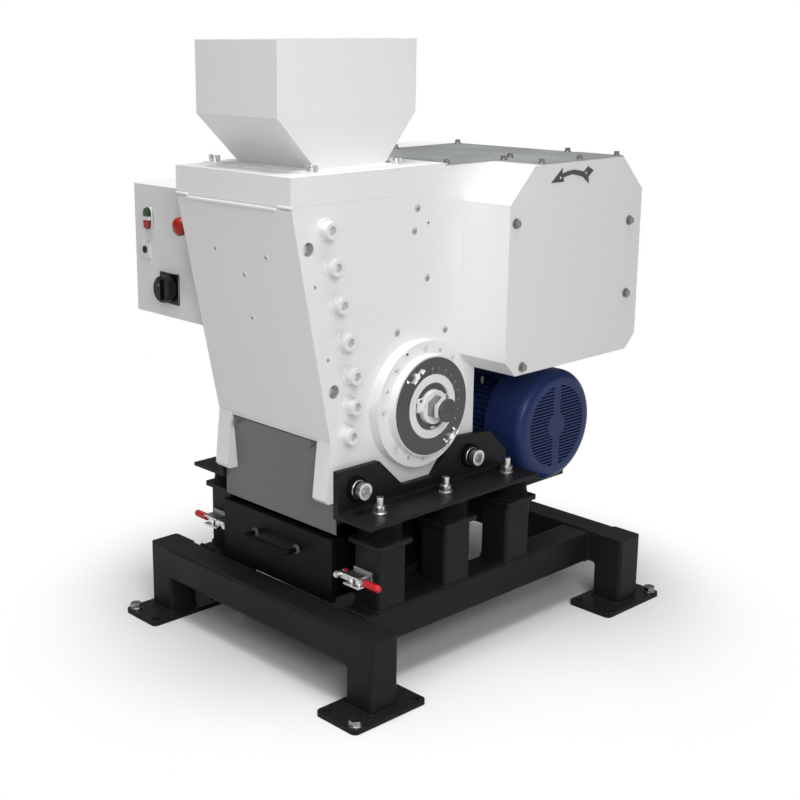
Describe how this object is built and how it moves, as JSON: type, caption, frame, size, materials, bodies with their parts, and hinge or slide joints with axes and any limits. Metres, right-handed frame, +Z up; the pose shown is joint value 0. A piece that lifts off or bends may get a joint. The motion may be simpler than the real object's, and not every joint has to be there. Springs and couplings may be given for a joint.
{
  "type": "laboratory jaw crusher",
  "caption": "Floor-standing laboratory jaw crusher with feed hopper, gap-setting dial, belt drive, collecting drawer and control box on a welded tube frame.",
  "frame": {"origin": "on the floor, at the centre of the rectangle of inner floor anchor holes, which is the centre of the frame", "axes": "+X to the right seen from the front, +Y to the back, +Z up"},
  "size_m": [0.8503, 1.011, 1.308],
  "materials": {
    "frame_black": "satin black powder coat",
    "zinc_steel": "bright zinc plate",
    "mount_rubber": "matt black rubber",
    "body_white": "white paint with a light sheen",
    "box_white": "light grey powder coat",
    "jaw_steel": "ground wear steel",
    "galvanised": "galvanised sheet",
    "dial_dark": "dark grey satin",
    "machined_steel": "turned steel",
    "grey_steel": "mid grey paint",
    "motor_blue": "navy blue paint",
    "bronze": "bearing bronze",
    "cast_dark": "dark cast iron",
    "fan_black": "black plastic",
    "start_green": "green plastic",
    "stop_red": "red plastic",
    "drawer_black": "satin black paint",
    "grip_red": "red vinyl sleeve"
  },
  "bodies": {
    "machine": {"end_beams": "frame_black", "side_rails": "frame_black", "hex_bolts": "zinc_steel", "rubber_mounts": "mount_rubber", "mount_brackets": "frame_black", "bracket_bolts": "zinc_steel", "left_side_plate": "body_white", "right_side_plate": "body_white", "front_wall": "body_white", "socket_screws": "body_white", "fixed_jaw": "jaw_steel", "wear_liners": "jaw_steel", "rear_wall": "body_white", "top_covers": "galvanised", "guard_bolts": "zinc_steel", "cap_box": "body_white", "hopper": "body_white", "hopper_nuts": "zinc_steel", "right_guard": "body_white", "left_guard": "body_white", "belt_cover": "body_white", "right_flange": "body_white", "left_flange": "body_white", "dial_ring": "dial_dark", "main_bearings": "machined_steel", "chute": "grey_steel", "chute_cover": "grey_steel", "motor_base": "frame_black", "motor_housing": "motor_blue", "terminal_box": "motor_blue", "motor_feet": "motor_blue", "fan_cowl": "motor_blue", "control_box": "box_white", "clamp_bases": "zinc_steel", "drive_belts": "mount_rubber"},
    "gap_dial": {"gap_shaft": "machined_steel", "pointer_hub": "body_white"},
    "bush": {"jaw_bush": "bronze"},
    "jaw": {"swing_jaw": "cast_dark", "moving_jaw_plate": "jaw_steel"},
    "rod": {"connecting_rod": "cast_dark"},
    "drive_shaft": {"eccentric_shaft": "machined_steel", "flywheel": "cast_dark", "driven_pulley": "cast_dark"},
    "motor_rotor": {"motor_shaft": "machined_steel", "motor_pulley": "cast_dark", "cooling_fan": "fan_black"},
    "door": {"control_door": "box_white"},
    "start": {"start_button": "start_green"},
    "stop": {"stop_button": "stop_red"},
    "estop": {"estop_button": "stop_red"},
    "mains": {"main_switch": "fan_black"},
    "key": {"key_switch": "fan_black"},
    "drawer": {"drawer": "drawer_black"},
    "left_arm": {"left_clamp_arm": "zinc_steel"},
    "left_lever": {"left_clamp_handle": "grip_red"},
    "right_arm": {"right_clamp_arm": "zinc_steel"},
    "right_lever": {"right_clamp_handle": "grip_red"},
    "upper_screw": {"upper_wing_screw": "zinc_steel"},
    "lower_screw": {"lower_wing_screw": "zinc_steel"}
  },
  "joints": [
    {"name": "gap_setting", "type": "hinge", "parent": "machine", "child": "gap_dial", "pos_m": [0, -0.134, 0.56], "axis": [1, 0, 0], "range_deg": [-60, 60]},
    {"name": "bush_turn", "type": "hinge", "parent": "gap_dial", "child": "bush", "pos_m": [0, -0.134, 0.563], "axis": [1, 0, 0], "range_deg": [-60, 60]},
    {"name": "jaw_swing", "type": "hinge", "parent": "bush", "child": "jaw", "pos_m": [0, -0.134, 0.563], "axis": [1, 0, 0], "range_deg": [-0.65, 0.65]},
    {"name": "rod_pin", "type": "hinge", "parent": "jaw", "child": "rod", "pos_m": [0, -0.02, 0.824], "axis": [1, 0, 0], "range_deg": [-0.65, 0.65]},
    {"name": "drive_spin", "type": "hinge", "parent": "machine", "child": "drive_shaft", "pos_m": [0, 0.23, 0.824], "axis": [1, 0, 0], "continuous": true},
    {"name": "motor_spin", "type": "hinge", "parent": "machine", "child": "motor_rotor", "pos_m": [0, 0.3, 0.43], "axis": [1, 0, 0], "continuous": true},
    {"name": "door_hinge", "type": "hinge", "parent": "machine", "child": "door", "pos_m": [-0.4548, -0.378, 0.848], "axis": [0, 0, -1], "range_deg": [0, 110]},
    {"name": "start_press", "type": "slide", "parent": "door", "child": "start", "axis": [0, 1, 0], "range_m": [0, 0.0025], "stiffness_N_per_m": 300},
    {"name": "stop_press", "type": "slide", "parent": "door", "child": "stop", "axis": [0, 1, 0], "range_m": [0, 0.0025], "stiffness_N_per_m": 300},
    {"name": "estop_press", "type": "slide", "parent": "door", "child": "estop", "axis": [0, 1, 0], "range_m": [0, 0.005], "stiffness_N_per_m": 500},
    {"name": "mains_turn", "type": "hinge", "parent": "door", "child": "mains", "pos_m": [-0.321, -0.4, 0.769], "axis": [0, -1, 0], "range_deg": [0, 90]},
    {"name": "key_turn", "type": "hinge", "parent": "door", "child": "key", "pos_m": [-0.411, -0.4, 0.846], "axis": [0, -1, 0], "range_deg": [0, 90]},
    {"name": "drawer_slide", "type": "slide", "parent": "machine", "child": "drawer", "axis": [0, -1, 0], "range_m": [0, 0.34]},
    {"name": "left_arm_hinge", "type": "hinge", "parent": "machine", "child": "left_arm", "pos_m": [-0.222, -0.356, 0.234], "axis": [0, 0, -1], "range_deg": [0, 55]},
    {"name": "left_lever_hinge", "type": "hinge", "parent": "machine", "child": "left_lever", "pos_m": [-0.244, -0.356, 0.234], "axis": [0, 0, 1], "range_deg": [0, 55]},
    {"name": "right_arm_hinge", "type": "hinge", "parent": "machine", "child": "right_arm", "pos_m": [0.222, -0.356, 0.234], "axis": [0, 0, 1], "range_deg": [0, 55]},
    {"name": "right_lever_hinge", "type": "hinge", "parent": "machine", "child": "right_lever", "pos_m": [0.244, -0.356, 0.234], "axis": [0, 0, -1], "range_deg": [0, 55]},
    {"name": "upper_screw_turn", "type": "hinge", "parent": "machine", "child": "upper_screw", "pos_m": [0.235, -0.18808, 0.63443], "axis": [1, 0, 0], "continuous": true},
    {"name": "lower_screw_turn", "type": "hinge", "parent": "machine", "child": "lower_screw", "pos_m": [0.235, -0.07992, 0.48557], "axis": [1, 0, 0], "continuous": true}
  ],
  "couplings": [
    {"joint": "bush_turn", "follows": "gap_setting", "ratio": -1},
    {"joint": "rod_pin", "follows": "jaw_swing", "ratio": -1},
    {"joint": "motor_spin", "follows": "drive_spin", "ratio": 3.2549},
    {"joint": "left_lever_hinge", "follows": "left_arm_hinge", "ratio": 1},
    {"joint": "right_lever_hinge", "follows": "right_arm_hinge", "ratio": 1}
  ]
}
